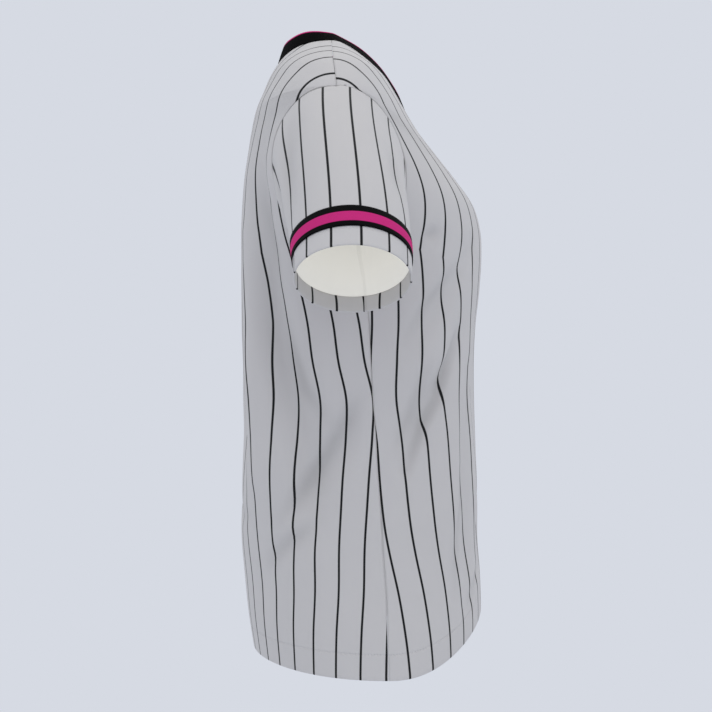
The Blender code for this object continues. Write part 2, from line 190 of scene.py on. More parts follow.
# Camera, backdrop and lamps. The lamps' columns are name, place, diameter and power.
CAMERA_PLACE = (-1.6, 0.0, -0.325)
CAMERA_LENS = 73.3
CAMERA_SENSOR = 36.0
AIM = (0.0, 0.0, -0.32)
FLOOR_Z = -0.95
STAGE_RADIUS = 5.0
STAGE_CURVE = 2.2
STAGE_HEIGHT = 4.5
STAGE_STEPS = 16
STAGE_SPIN = 96
BACKDROP_GLOW = 1.0
AIR_LIGHT = 1.0
LAMPS = (
    ("key softbox", (-1.9, -2.0, 1.5), 1.4, 8.0),
    ("fill softbox", (-1.6, 2.0, 0.4), 2.0, 2.5),
    ("far softbox", (2.2, -0.6, 1.2), 2.0, 6.0),
)

# Level sections of the body.
SECTION_COLUMNS = (
    "z", "half_width", "seam_y", "front_reach", "back_reach", "front_square", "back_square",
)
SECTIONS = (
    (0.012, 0.068, 0.027, 0.022, 0.052, 2.0, 2.0),
    (0.006, 0.080, 0.026, 0.028, 0.056, 2.0, 2.0),
    (-0.004, 0.100, 0.025, 0.037, 0.059, 2.0, 2.0),
    (-0.015, 0.127, 0.024, 0.047, 0.066, 2.0, 2.0),
    (-0.027, 0.152, 0.023, 0.057, 0.073, 2.0, 2.0),
    (-0.043, 0.171, 0.021, 0.065, 0.081, 2.0, 2.05),
    (-0.061, 0.186, 0.019, 0.073, 0.090, 2.0, 2.1),
    (-0.085, 0.188, 0.018, 0.087, 0.096, 2.0, 2.2),
    (-0.110, 0.186, 0.017, 0.106, 0.100, 2.0, 2.5),
    (-0.135, 0.182, 0.015, 0.124, 0.105, 2.05, 2.8),
    (-0.162, 0.176, 0.012, 0.140, 0.110, 2.1, 3.0),
    (-0.190, 0.168, 0.006, 0.142, 0.117, 2.2, 3.3),
    (-0.220, 0.159, -0.002, 0.135, 0.125, 2.3, 3.5),
    (-0.250, 0.153, -0.008, 0.127, 0.131, 2.4, 3.6),
    (-0.290, 0.147, -0.013, 0.118, 0.136, 2.5, 3.6),
    (-0.330, 0.144, -0.015, 0.114, 0.138, 2.6, 3.6),
    (-0.370, 0.142, -0.017, 0.112, 0.140, 2.6, 3.5),
    (-0.405, 0.143, -0.020, 0.110, 0.142, 2.6, 3.4),
    (-0.440, 0.146, -0.022, 0.109, 0.145, 2.6, 3.2),
    (-0.480, 0.150, -0.025, 0.107, 0.149, 2.6, 2.8),
    (-0.520, 0.155, -0.027, 0.105, 0.152, 2.5, 2.4),
    (-0.560, 0.162, -0.030, 0.105, 0.152, 2.4, 2.2),
    (-0.600, 0.171, -0.031, 0.105, 0.149, 2.3, 2.15),
    (-0.645, 0.179, -0.032, 0.101, 0.143, 2.25, 2.1),
)

# Half the width of the flat cut at each height, for the front and for the back.
CUT_COLUMNS = ("z", "front", "back")
CUT = (
    (-0.212, 0.2244, 0.2649),
    (-0.290, 0.2190, 0.2535),
    (-0.330, 0.2155, 0.2495),
    (-0.370, 0.2130, 0.2425),
    (-0.405, 0.2160, 0.2465),
    (-0.500, 0.2192, 0.2600),
    (-0.525, 0.2229, 0.2628),
    (-0.620, 0.2367, 0.2713),
    (-0.640, 0.2383, 0.2723),
)
TOP_EASE = {"front": 1.047, "back": 1.079}

# Folds of the body, with columns panel, line, width, depth, mirror and lower. Each is a soft
# trough along a line of (distance from the panel's middle, height) points. Depth below zero makes
# a ridge. The mirror column presses the same fold in on the wearer's left, at that share of its
# depth and that much lower down.
FOLDS = (
    ("back", ((0.15, -0.12), (0.14, -0.202), (0.138, -0.25), (0.14, -0.29),
              (0.148, -0.325), (0.16, -0.372), (0.172, -0.42), (0.178, -0.47)),
     0.024, 0.02, 0.8, 0.02),
    ("back", ((0.105, -0.2), (0.108, -0.28), (0.108, -0.37), (0.108, -0.45)),
     0.014, -0.006, 0.8, 0.02),
    ("back", ((0.24, -0.366), (0.223, -0.393), (0.205, -0.429), (0.185, -0.45),
              (0.163, -0.481)), 0.016, 0.008, 0.7, -0.02),
    ("back", ((0.194, -0.492), (0.17, -0.507), (0.145, -0.535)), 0.014, 0.004, 1.2, 0.03),
    ("back", ((0.05, -0.33), (0.06, -0.4), (0.066, -0.46)), 0.02, 0.005, 0.6, -0.05),
    ("front", ((0.152, -0.195), (0.165, -0.212)), 0.01, 0.003, 0.8, 0.01),
    ("front", ((0.094, -0.212), (0.118, -0.241), (0.147, -0.28), (0.173, -0.316)),
     0.013, 0.006, 0.7, -0.015),
    ("front", ((0.112, -0.3), (0.121, -0.326), (0.149, -0.367), (0.165, -0.393),
               (0.185, -0.437)), 0.009, 0.007, 0.9, 0.02),
    ("front", ((0.151, -0.337), (0.173, -0.383), (0.195, -0.422)), 0.013, 0.003, 1.1, 0.0),
    ("front", ((0.085, -0.34), (0.097, -0.42), (0.1, -0.48), (0.108, -0.53),
               (0.117, -0.575)), 0.014, 0.006, 0.8, 0.0),
    ("front", ((0.04, -0.29), (0.052, -0.36), (0.048, -0.42)), 0.018, 0.004, 0.7, -0.04),
)

# Creases too fine for the solids, with the same columns.
CREASES = (
    ("front", ((0.112, -0.305), (0.121, -0.325), (0.14, -0.37), (0.158, -0.393),
               (0.182, -0.442)), 0.0055, 0.0046, 0.8, 0.02),
    ("front", ((0.153, -0.337), (0.17, -0.384), (0.195, -0.423)), 0.007, 0.0026, 1.1, 0.0),
    ("front", ((0.129, -0.24), (0.161, -0.277), (0.179, -0.308)), 0.007, 0.0024, 0.8, -0.012),
    ("front", ((0.153, -0.198), (0.173, -0.209)), 0.006, 0.0018, 1.0, 0.01),
    ("front", ((0.105, -0.444), (0.113, -0.476), (0.129, -0.527), (0.14, -0.568)),
     0.0075, 0.0026, 0.9, -0.015),
    ("front", ((0.061, -0.541), (0.092, -0.564), (0.115, -0.582)), 0.0065, 0.0022, 0.9, 0.01),
    ("front", ((0.02, -0.455), (0.052, -0.49), (0.06, -0.53)), 0.008, 0.0018, 0.6, -0.02),
    ("back", ((0.138, -0.166), (0.148, -0.202), (0.152, -0.243)), 0.009, 0.0026, 0.8, 0.02),
    ("back", ((0.157, -0.308), (0.173, -0.36), (0.195, -0.389)), 0.008, 0.0034, 0.8, 0.02),
    ("back", ((0.238, -0.36), (0.214, -0.394), (0.187, -0.437), (0.169, -0.461),
              (0.139, -0.494)), 0.008, 0.0038, 0.7, -0.02),
    ("back", ((0.175, -0.499), (0.15, -0.513), (0.117, -0.541)), 0.0075, 0.003, 1.1, 0.03),
    ("back", ((0.03, -0.3), (0.048, -0.345), (0.052, -0.4)), 0.009, 0.0022, 0.7, 0.03),
    ("back", ((0.012, -0.47), (0.05, -0.495), (0.086, -0.492)), 0.008, 0.002, 0.6, -0.03),
)

# Folds of the sleeve, with columns line, width and depth. The line's points are (distance
# round from the sleeve's top line, share of the way down).
SLEEVE_FOLDS = (
    (((0.045, 0.18), (0.058, 0.42), (0.066, 0.66)), 0.012, 0.004),
    (((0.088, 0.1), (0.092, 0.4), (0.104, 0.62)), 0.01, 0.0045),
    (((-0.058, 0.35), (-0.066, 0.62)), 0.012, 0.003),
    (((-0.104, 0.15), (-0.1, 0.45)), 0.011, 0.003),
)

# Which way the neckband's face points, from the point of the V round to the back's middle,
# with columns share of the way round, out, back and up.
BAND_FACES = (
    (0.00, 0.00, -0.98, 0.18),
    (0.12, 0.10, -0.96, 0.26),
    (0.25, 0.26, -0.80, 0.54),
    (0.42, 0.46, -0.40, 0.79),
    (0.52, 0.50, 0.12, 0.86),
    (0.70, 0.50, 0.64, 0.58),
    (0.85, 0.30, 0.88, 0.36),
    (1.00, 0.00, 0.96, 0.27),
)


def linear(code):
    """The linear colour of an sRGB hex value, with full alpha."""
    parts = [int(code[k : k + 2], 16) / 255 for k in (1, 3, 5)]
    return tuple(
        part / 12.92 if part <= 0.04045 else ((part + 0.055) / 1.055) ** 2.4 for part in parts
    ) + (1.0,)


def colour_prop(name, description, code):
    """A colour setting of the sidebar, from a hex value."""
    return bpy.props.FloatVectorProperty(
        name=name, description=description, subtype="COLOR", size=4,
        min=0.0, max=1.0, default=linear(code),
    )


def size_prop(name, description, default):
    """A size setting of the sidebar, in metres."""
    return bpy.props.FloatProperty(
        name=name, description=description, subtype="DISTANCE", unit="LENGTH",
        min=0.0, precision=5, default=default,
    )


class JerseyClothSettings(bpy.types.PropertyGroup):
    """Colours and sizes of the printed knit"""
    cloth_colour: colour_prop("Cloth", "Printed grey of the knit's face", "#CBC9C9")
    stripe_colour: colour_prop("Pinstripe", "Near-black ink of the pinstripes", "#0B0C0E")
    inside_colour: colour_prop("Inside", "Unprinted white back of the knit", "#E0DFDB")
    stripe_pitch: size_prop("Stripe spacing", "From one pinstripe to the next", 0.0270)
    stripe_width: size_prop("Stripe width", "Width of one printed pinstripe", 0.0024)
    wale: size_prop(
        "Knit wale", "Width of one column of stitches, drawn coarser than the real 0.6 mm", 0.0013
    )
    stitch: size_prop("Stitch length", "Length of one stitch of the hem seams", 0.0032)


class JerseyTrimSettings(bpy.types.PropertyGroup):
    """Colours and sizes of the neckband and braids"""
    black: colour_prop("Black yarn", "Near-black of the rib and of the braid's edges", "#070708")
    magenta: colour_prop("Magenta yarn", "Magenta of the braid and of the neck tipping", "#D0307F")
    tipping: size_prop("Tipping", "Height of magenta at the neckband's folded edge", 0.0046)
    rib: size_prop("Rib", "Width of one rib of the neckband", 0.0016)


class JerseyStageSettings(bpy.types.PropertyGroup):
    """Colour of the backdrop"""
    backdrop_colour: colour_prop("Backdrop", "Pale blue-grey paper of the backdrop", "#D6DAE3")


def ease(t):
    """Zero to one with a level start and end."""
    t = np.clip(t, 0.0, 1.0)
    return t * t * (3 - 2 * t)


def unit(vectors):
    """The same vectors at length one."""
    return vectors / np.linalg.norm(vectors, axis=-1, keepdims=True)


def smooth_between(xs, ys, x):
    """Values of a smooth curve through the table's points."""
    xs, ys = np.asarray(xs, float), np.asarray(ys, float)
    slopes = np.gradient(ys, xs)
    x = np.clip(x, xs[0], xs[-1])
    at = np.clip(np.searchsorted(xs, x, side="right") - 1, 0, len(xs) - 2)
    span = xs[at + 1] - xs[at]
    t = (x - xs[at]) / span
    return (
        (2 * t**3 - 3 * t**2 + 1) * ys[at]
        + (t**3 - 2 * t**2 + t) * span * slopes[at]
        + (3 * t**2 - 2 * t**3) * ys[at + 1]
        + (t**3 - t**2) * span * slopes[at + 1]
    )


def column_at(rows, place, at):
    """A table's column at values of its first column, which rises from row to row."""
    return smooth_between([row[0] for row in rows], [row[place] for row in rows], at)


def section(column, z):
    """One size of the body's level section at height z."""
    return column_at(SECTIONS[::-1], SECTION_COLUMNS.index(column), z)


def body_point(panel, turn, z):
    """A point of the body on its left half: turn goes from 0 at the middle to 1 at the seam."""
    power = 2 / section(panel + "_square", z)
    angle = turn * math.pi / 2
    x = section("half_width", z) * np.sin(angle) ** power
    away = section(panel + "_reach", z) * np.cos(angle) ** power
    sign = -1 if panel == "front" else 1
    return np.stack([x, section("seam_y", z) + sign * away, z], axis=-1)


def turn_at(panel, away, z):
    """The turn at which the body is that far in front of or behind its seam line."""
    share = np.clip(away / section(panel + "_reach", z), 0.0, 1.0)
    return np.arccos(share ** (section(panel + "_square", z) / 2)) * 2 / math.pi


def outer_edge(panel):
    """Height and turn of each row's end: shoulder seam, then armhole, then side seam."""
    gap = SEAM_GAP / 2
    shoulder = np.linspace(NECK_POINT_Z, SHOULDER_TIP_Z, SHOULDER_ROWS * FINER + 1)
    swing = np.linspace(0, math.pi, ARMHOLE_ROWS * FINER + 1)
    middle, half = (SHOULDER_TIP_Z + UNDERARM_Z) / 2, (SHOULDER_TIP_Z - UNDERARM_Z) / 2
    armhole_z = middle + half * np.cos(swing)
    wide = ARMHOLE_FRONT if panel == "front" else ARMHOLE_BACK
    side = np.linspace(UNDERARM_Z, SIDE_HEM_Z, SIDE_ROWS * FINER + 1)
    z = np.concatenate([shoulder, armhole_z[1:], side[1:]])
    away = np.concatenate([
        np.full(SHOULDER_ROWS * FINER, gap),
        gap + wide * np.clip(np.sin(swing), 0, 1) ** ARMHOLE_ROUNDNESS,
        np.full(SIDE_ROWS * FINER, gap),
    ])
    return z, turn_at(panel, away, z)


def inner_edge(panel, rows):
    """Height of each row on the panel's middle line."""
    top, bottom = (
        (FRONT_NECK_Z, FRONT_HEM_Z) if panel == "front" else (BACK_NECK_Z, BACK_HEM_Z)
    )
    share = smooth_between(
        (0, SHOULDER_ROWS, SHOULDER_ROWS + ARMHOLE_ROWS, (rows - 1) / FINER),
        (0, MIDDLE_ABOVE_TIP, MIDDLE_ABOVE_UNDERARM, 1),
        np.arange(rows) / FINER,
    )
    return top + (bottom - top) * share


def run_along(line):
    """How far along a line each of its points is."""
    steps = np.linalg.norm(np.diff(line, axis=0), axis=1)
    return np.concatenate([[0], np.cumsum(steps)])


def points_at(line, run, wanted):
    """The points of a line where its run has the wanted values."""
    return np.stack([np.interp(wanted, run, line[:, k]) for k in range(3)], axis=1)


def spaced_evenly(line, count):
    """The same line with count points spread evenly along it."""
    run = run_along(line)
    return points_at(line, run, np.linspace(0, run[-1], count))


def half_panel(panel):
    """The left half of a panel without folds: rows of points from its middle to its edge."""
    fine = np.linspace(0, 1, LINE_POINTS)
    z_out, turn_out = outer_edge(panel)
    z_in = inner_edge(panel, len(z_out))
    turn = turn_out[:, None] * fine
    end_x = body_point(panel, turn_out, z_out)[:, :1]
    row = np.arange(len(z_out))[:, None]
    near_neck = np.clip(1 - row / (SHOULDER_ROWS * FINER), 0, 1)
    bow = 1 + row / (len(z_out) - 1) + (NECK_BOW[panel] - 1) * near_neck
    z = np.repeat(z_out[:, None], LINE_POINTS, axis=1)
    for _ in range(ROW_PASSES):
        x = body_point(panel, turn, z)[:, :, 0]
        drop = (z_out - z_in)[:, None] * np.clip(x / end_x, 0, 1) ** bow
        z = (z + z_in[:, None] + drop) / 2
    rows = body_point(panel, turn, z)
    return np.array([spaced_evenly(row, HALF_COLUMNS * FINER + 1) for row in rows])


def cloth_distance(grid):
    """How far round the cloth each point is from the panel's middle line."""
    steps = np.diff(grid, axis=1)
    round_body = ease((TURN_OVER_Z - grid[:, 1:, 2]) / TURN_OVER_DROP)
    across = np.sqrt(steps[:, :, 0] ** 2 + round_body * steps[:, :, 1] ** 2)
    return np.concatenate([np.zeros((len(grid), 1)), np.cumsum(across, axis=1)], axis=1)


def fold_depth(at, line, width, depth):
    """How deep a trough is at each (across, along) place, fading out at the line's ends."""
    line = np.asarray(line, float)
    best = np.full(at.shape[:-1], np.inf)
    share = np.zeros(at.shape[:-1])
    lengths = np.linalg.norm(np.diff(line, axis=0), axis=1)
    done = 0.0
    for start, step, length in zip(line[:-1], np.diff(line, axis=0), lengths):
        t = np.clip(((at - start) @ step) / length**2, 0, 1)
        away = np.linalg.norm(at - start - t[..., None] * step, axis=-1)
        nearer = away < best
        best = np.where(nearer, away, best)
        share = np.where(nearer, (done + t * length) / lengths.sum(), share)
        done += length
    strength = FOLD_END_STRENGTH + (1 - FOLD_END_STRENGTH) * np.sin(math.pi * share)
    return depth * strength * np.exp(-((best / width) ** 2))


def body_folds(table, panel, across, z, mirrored):
    """How deep one table's folds press the panel in, on its left half or mirrored."""
    total = np.zeros(across.shape)
    for name, line, width, depth, mirror, lower in table:
        if name != panel:
            continue
        drop = lower if mirrored else 0.0
        share = mirror if mirrored else 1.0
        at = np.stack([across, z + drop], axis=-1)
        total += fold_depth(at, line, width, depth * share)
    return total


def normals(grid, closed=False):
    """Unit normals of a grid of points, rows running down and columns running across."""
    across = np.gradient(grid, axis=1)
    if closed:
        across = (np.roll(grid, -1, axis=1) - np.roll(grid, 1, axis=1)) / 2
    return unit(np.cross(across, np.gradient(grid, axis=0)))


def whole(left, right=None):
    """A panel's full width from its left half, and its right half where that differs."""
    right = left if right is None else right
    flip = MIRROR if left.ndim == 3 else 1.0
    return np.concatenate([right[:, :0:-1] * flip, left], axis=1)


def stripe_distance(panel, base):
    """Distance from the panel's middle line on the flat cut, which the printed stripes follow."""
    across = cloth_distance(base)
    cut = column_at(CUT[::-1], CUT_COLUMNS.index(panel), base[:, -1, 2])
    ratio = cut / across[:, -1]
    underarm = (SHOULDER_ROWS + ARMHOLE_ROWS) * FINER
    blend = ease(np.arange(underarm) / underarm)
    ratio[:underarm] = TOP_EASE[panel] + (ratio[underarm] - TOP_EASE[panel]) * blend
    return across * ratio[:, None]


def panel_sheet(panel):
    """A whole panel's outer points, normals and measures, right edge to left edge."""
    base = half_panel(panel)
    normal = normals(base)
    if (normal[:, 0, 1].mean() < 0) != (panel == "front"):
        normal = -normal
    normal[:, 0, 0] = 0
    seams = np.r_[0 : SHOULDER_ROWS * FINER + 1, (SHOULDER_ROWS + ARMHOLE_ROWS) * FINER : len(base)]
    normal[seams, -1, 1] = 0
    normal = unit(normal)
    across = cloth_distance(base)
    from_edge = across[:, -1:] - across
    from_top = base[:1, :, 2] - base[:, :, 2]
    calm = ease(from_edge / SEAM_CALM) * ease(from_top / SEAM_CALM)
    halves, shades = [], []
    for is_left in (True, False):
        folds, creases = (
            body_folds(table, panel, across, base[:, :, 2], is_left) * calm
            for table in (FOLDS, CREASES)
        )
        halves.append(base - normal * (folds + creases)[..., None])
        # Painted shade: how much each point's colour is darkened for lying in a fold or crease
        # trough.
        shades.append(folds / FOLD_SHADE_DEPTH + creases / CREASE_SHADE_DEPTH)
    steps = np.linalg.norm(np.diff(base, axis=0), axis=2)
    down = np.concatenate([np.zeros((1, base.shape[1])), np.cumsum(steps, axis=0)])
    stripes = stripe_distance(panel, base)
    measures = {
        "across": whole(stripes, -stripes),
        "down": whole(down),
        "to_seam": whole(from_edge),
        "to_hem": whole(down[-1:] - down),
        "painted_shade": whole(*shades),
    }
    return whole(*halves), whole(normal), measures


def turned_hem(points, normal, measures, depth):
    """The same cloth with its last row folded round and run back up inside by depth."""
    up = unit(points[-2] - points[-1])
    inward = -normal[-1]
    half_space = HEM_FOLD_SPACE / 2
    rows, down = [], []
    turned = measures["down"][-1]
    for step in range(1, HEM_FOLD_STEPS + 1):
        angle = math.pi * step / HEM_FOLD_STEPS
        raised = up * half_space * math.sin(angle)
        rows.append(points[-1] + inward * half_space * (1 - math.cos(angle)) - raised)
        down.append(turned + half_space * angle)
    run = measures["down"][-1].mean() - measures["down"].mean(axis=1)
    reached = [k for k in range(len(points) - 1, -1, -1) if run[k] <= depth]
    for k in reached[1:]:
        rows.append(points[k] - normal[k] * HEM_FOLD_SPACE)
        down.append(turned + half_space * math.pi + run[k])
    count = len(rows)
    result = {name: np.concatenate([value, np.repeat(value[-1:], count, axis=0)])
              for name, value in measures.items()}
    result["down"][-count:] = np.array(down)
    result["to_hem"][-count:] = -(np.array(down) - turned)
    for place, k in enumerate(reached[1:]):
        for name in ("across", "to_seam"):
            result[name][len(points) + HEM_FOLD_STEPS + place] = measures[name][k]
    return np.concatenate([points, np.array(rows)]), result


def armhole(front, back):
    """The left armhole's points: from the shoulder tip back and down, then round and up."""
    rows = slice(SHOULDER_ROWS * FINER, (SHOULDER_ROWS + ARMHOLE_ROWS) * FINER + 1)
    behind, ahead = back[rows, -1], front[rows, -1]
    top, low = (behind[:1] + ahead[:1]) / 2, (behind[-1:] + ahead[-1:]) / 2
    return np.concatenate([top, behind[1:-1], low, ahead[-2:0:-1]])


def sleeve_sheet():
    """The left sleeve's outer points, normals and measures: rows from armhole to cuff."""
    panels = [panel_sheet(name) for name in ("front", "back")]
    loop = armhole(*(panel[0] for panel in panels))
    seam_normal = unit(armhole(*(panel[1] for panel in panels)))
    out = np.array([math.cos(SLEEVE_LEAN), 0.0, math.sin(SLEEVE_LEAN)])
    along_loop = np.roll(loop, -1, axis=0) - np.roll(loop, 1, axis=0)
    outward = unit(np.cross(along_loop, seam_normal))
    outward *= np.sign((outward * (loop - loop.mean(axis=0))).sum()) * -1
    loop = loop + outward * ARMHOLE_GAP
    steps = np.linalg.norm(np.roll(loop, -1, axis=0) - loop, axis=1)
    angle = (np.concatenate([[0], np.cumsum(steps)[:-1]]) / steps.sum() * 2 * math.pi)[:, None]
    turned = angle + CUFF_TURN
    rim = CUFF_MIDDLE + CUFF_RADIUS * (np.cos(turned) * out + np.sin(turned) * [0.0, 1.0, 0.0])
    length = np.linalg.norm(rim - loop, axis=1, keepdims=True)
    t = np.linspace(0, 1, LINE_POINTS)[:, None, None]
    handle_in = loop + length * SLEEVE_START_PULL * unit(np.array(SLEEVE_START))
    handle_out = rim - length * SLEEVE_END_PULL * SLEEVE_AXIS
    curve = (1 - t) ** 3 * loop + 3 * (1 - t) ** 2 * t * handle_in
    curve = curve + 3 * (1 - t) * t**2 * handle_out + t**3 * rim
    columns, down = [], []
    lower = CUFF_HEM + BRAID_WIDTH
    for k in range(len(loop)):
        run = run_along(curve[:, k])
        cap = np.linspace(0, run[-1] - lower, SLEEVE_ROWS + 1)
        below = run[-1] - np.linspace(lower, 0, SLEEVE_LOW_ROWS + 1)[1:]
        wanted = np.concatenate([cap, below])
        columns.append(points_at(curve[:, k], run, wanted))
        down.append(wanted)
    base = np.array(columns).transpose(1, 0, 2)
    down = np.array(down).T
    normal = normals(base, closed=True)
    if (normal[-1] * (base[-1] - CUFF_MIDDLE)).sum() < 0:
        normal = -normal
    normal[0] = seam_normal
    round_top = np.where(angle[:, 0] > math.pi, angle[:, 0] - 2 * math.pi, angle[:, 0])
    across = np.broadcast_to(round_top * SLEEVE_MEAN_RADIUS, base.shape[:2])
    share = down / down[-1]
    fold_length = length.mean()
    at = np.stack([across, share * fold_length], axis=-1)
    depth = sum(
        fold_depth(at, [(a, b * fold_length) for a, b in line], width, deep)
        for line, width, deep in SLEEVE_FOLDS
    )
    depth = depth * ease(share / SLEEVE_CALM_TOP) * ease((1 - share) / SLEEVE_CALM_LOW)
    points = base - normal * depth[..., None]
    ring = np.diff(np.concatenate([base, base[:, :1]], axis=1), axis=1)
    ring = ring - (ring @ SLEEVE_AXIS)[..., None] * SLEEVE_AXIS
    widths = np.linalg.norm(ring, axis=2)
    half = base.shape[1] // 2
    stripes = np.zeros(base.shape[:2])
    stripes[:, 1 : half + 1] = np.cumsum(widths[:, :half], axis=1)
    stripes[:, half + 1 :] = np.cumsum(widths[:, :half:-1], axis=1)[:, ::-1]
    measures = {
        "across": stripes,
        "down": down,
        "to_seam": down.copy(),
        "to_hem": down[-1:] - down,
        # Painted shade: how much the colour is darkened in the sleeve's fold troughs.
        "painted_shade": depth / SLEEVE_SHADE_DEPTH,
    }
    return points, normal, measures


def neck_edges():
    """The neckband's lower and upper edges and its facing, from the V round to the back."""
    ahead, behind = half_panel("front")[0], half_panel("back")[0][::-1]
    path = np.concatenate([ahead[:-1], (ahead[-1:] + behind[:1]) / 2, behind[1:]])
    run = run_along(path)
    share = run / run[-1]
    face = unit(np.stack([column_at(BAND_FACES, k, share) for k in (1, 2, 3)], axis=1))
    along = np.gradient(path, axis=0)
    along[-1, 1:] = 0
    inward = unit(np.cross(face, unit(along)))
    if inward[:, 2].mean() < 0:
        inward = -inward
    upper = path + inward * BAND_WIDTH
    first = int(np.argmax(upper[:, 0] > 0))
    back_share = upper[first, 0] / (upper[first, 0] - upper[first - 1, 0])
    point = upper[first] + (upper[first - 1] - upper[first]) * back_share
    upper = np.concatenate([[point], upper[first:]])
    run_up = run_along(upper)
    upper = points_at(upper, run_up / run_up[-1], share)
    upper[-1, 0] = 0
    lower = path + unit(upper - path) * BAND_GAP
    return lower, upper, face, run


def all_round(half, flip=1.0):
    """A ring's columns from its left half, which starts and ends on the middle line."""
    return np.concatenate([half, half[:, -2:0:-1] * flip], axis=1)


def neckband_sheet():
    """The folded neckband: rows up its face, over the fold and down its back, columns round."""
    lower, upper, face, run = neck_edges()
    rise = unit(upper - lower)
    radius = BAND_FOLD_SPACE / 2
    height = np.linalg.norm(upper - lower, axis=1, keepdims=True) - radius
    rows, down = [], []
    for share in np.linspace(0, 1, BAND_ROWS):
        crown = BAND_CROWN * math.sin(math.pi * share)
        rows.append(lower + rise * height * share + face * crown)
        down.append(height[:, 0] * share)
    for angle in np.linspace(0, math.pi, HEM_FOLD_STEPS + 2)[1:-1]:
        turned = face * radius * (1 - math.cos(angle))
        rows.append(lower + rise * (height + radius * math.sin(angle)) - turned)
        down.append(height[:, 0] + radius * angle)
    for share in np.linspace(1, 0, BAND_ROWS):
        rows.append(lower + rise * height * share - face * BAND_FOLD_SPACE)
        down.append(height[:, 0] * (2 - share) + radius * math.pi)
    down = np.array(down)
    measures = {
        "across": np.broadcast_to(run, down.shape),
        "down": down,
        "to_fold": down - (height[:, 0] + radius * math.pi / 2),
    }
    measures = {key: all_round(value) for key, value in measures.items()}
    return all_round(np.array(rows), MIRROR), measures


def cloth_piece(name, points, measures, closed, materials, thickness, outward):
    """A mesh piece of cloth laid on a grid of points, with its wall and its inner face."""
    rows, columns = points.shape[:2]
    spans = columns if closed else columns - 1
    bm = bmesh.new()
    layers = {key: bm.verts.layers.float.new(key) for key in measures}
    bmesh.ops.create_grid(bm, x_segments=spans, y_segments=rows - 1, size=1)
    for vert in bm.verts:
        column = round((vert.co.x + 1) / 2 * spans) % columns
        row = round((1 - vert.co.y) / 2 * (rows - 1))
        vert.co = points[row, column]
        for key, layer in layers.items():
            vert[layer] = measures[key][row, column]
    if closed:
        bmesh.ops.remove_doubles(bm, verts=bm.verts[:], dist=CLOSE)
    bm.normal_update()
    facing = sum(face.normal.dot(outward(face.calc_center_median())) for face in bm.faces)
    if facing < 0:
        bmesh.ops.reverse_faces(bm, faces=bm.faces[:])
    mesh = bpy.data.meshes.new(name)
    bm.to_mesh(mesh)
    bm.free()
    mesh.shade_smooth()
    for material in materials:
        mesh.materials.append(material)
    piece = bpy.data.objects.new(name, mesh)
    bpy.context.scene.collection.objects.link(piece)
    wall = piece.modifiers.new("cloth thickness", "SOLIDIFY")
    wall.thickness = thickness
    wall.offset = -1
    wall.use_even_offset = False
    wall.material_offset = len(materials) - 1
    wall.material_offset_rim = 0
    return piece


def left_and_right(name, points, measures, materials, thickness):
    """A sleeve's cloth made for the wearer's left and, mirrored, for the right, by side."""
    made = {}
    middle = points.reshape(-1, 3).mean(axis=0)
    for side, turn in (("left", np.ones(3)), ("right", MIRROR)):

        def outward(place, turn=turn):
            """Away from the sleeve's axis."""
            away = np.array(place) * turn - middle
            return Vector((away - (away @ SLEEVE_AXIS) * SLEEVE_AXIS) * turn)

        made[side] = cloth_piece(
            name + side, points * turn, measures, True, materials, thickness, outward
        )
    return made


def add_node(tree, kind, settings=(), links=()):
    """Adds a node with its settings and inputs, and links other nodes' sockets into it."""
    node = tree.nodes.new(kind)
    for key, value in dict(settings).items():
        if isinstance(key, int) or key in node.inputs:
            node.inputs[key].default_value = value
        else:
            setattr(node, key, value)
    for key, socket in dict(links).items():
        tree.links.new(socket, node.inputs[key])
    return node


def maths(tree, operation, first, second=None, clamp=False):
    """A Math node's value, from sockets or numbers."""
    settings, links = {"operation": operation, "use_clamp": clamp}, {}
    for place, value in enumerate((first, second)):
        if isinstance(value, (int, float)):
            settings[place] = value
        elif value is not None:
            links[place] = value
    return add_node(tree, "ShaderNodeMath", settings, links).outputs[0]


def measure(tree, name):
    """One of the cloth's own measures in metres, such as the distance to its seam."""
    settings = {"attribute_name": name, "attribute_type": "GEOMETRY"}
    return add_node(tree, "ShaderNodeAttribute", settings).outputs["Fac"]


def near(tree, value, middle, half_width, soft):
    """One where a measure is within half_width of middle, falling to zero over soft."""
    away = maths(tree, "ABSOLUTE", maths(tree, "SUBTRACT", value, middle))
    settings = {
        "interpolation_type": "SMOOTHSTEP",
        "From Min": half_width - soft,
        "From Max": half_width + soft,
        "To Min": 1.0,
        "To Max": 0.0,
    }
    return add_node(tree, "ShaderNodeMapRange", settings, {"Value": away}).outputs["Result"]


def to_nearest(tree, value, pitch, phase):
    """Distance from a measure to the nearest line of a set spaced by pitch."""
    turns = maths(tree, "ADD", maths(tree, "DIVIDE", value, pitch), 0.5 - phase)
    share = maths(tree, "FRACT", turns)
    return maths(tree, "MULTIPLY", maths(tree, "SUBTRACT", share, 0.5), pitch)


def wave(tree, value, length):
    """A sine of one metre's height along a measure, repeating over length."""
    return maths(tree, "SINE", maths(tree, "MULTIPLY", value, 2 * math.pi / length))


def mix(tree, share, first, second):
    """A colour between two, each a socket or a colour."""
    node = add_node(tree, "ShaderNodeMix", {"data_type": "RGBA"}, {"Factor": share})
    for place, value in ((COLOUR_A, first), (COLOUR_B, second)):
        if isinstance(value, bpy.types.NodeSocket):
            tree.links.new(value, node.inputs[place])
        else:
            node.inputs[place].default_value = value
    return node.outputs[COLOUR_OUT]


def new_material(name, finish):
    """A node material with that finish, its tree and shader."""
    material = bpy.data.materials.new(name)
    material.use_nodes = True
    tree = material.node_tree
    shader = tree.nodes["Principled BSDF"]
    for key, value in finish.items():
        shader.inputs[key].default_value = value
    return material, tree, shader


def roughen(tree, shader, height):
    """Feeds a height in metres to the shader's normal."""
    bump = add_node(tree, "ShaderNodeBump", {"Strength": 1.0, "Distance": 1.0}, {"Height": height})
    tree.links.new(bump.outputs["Normal"], shader.inputs["Normal"])


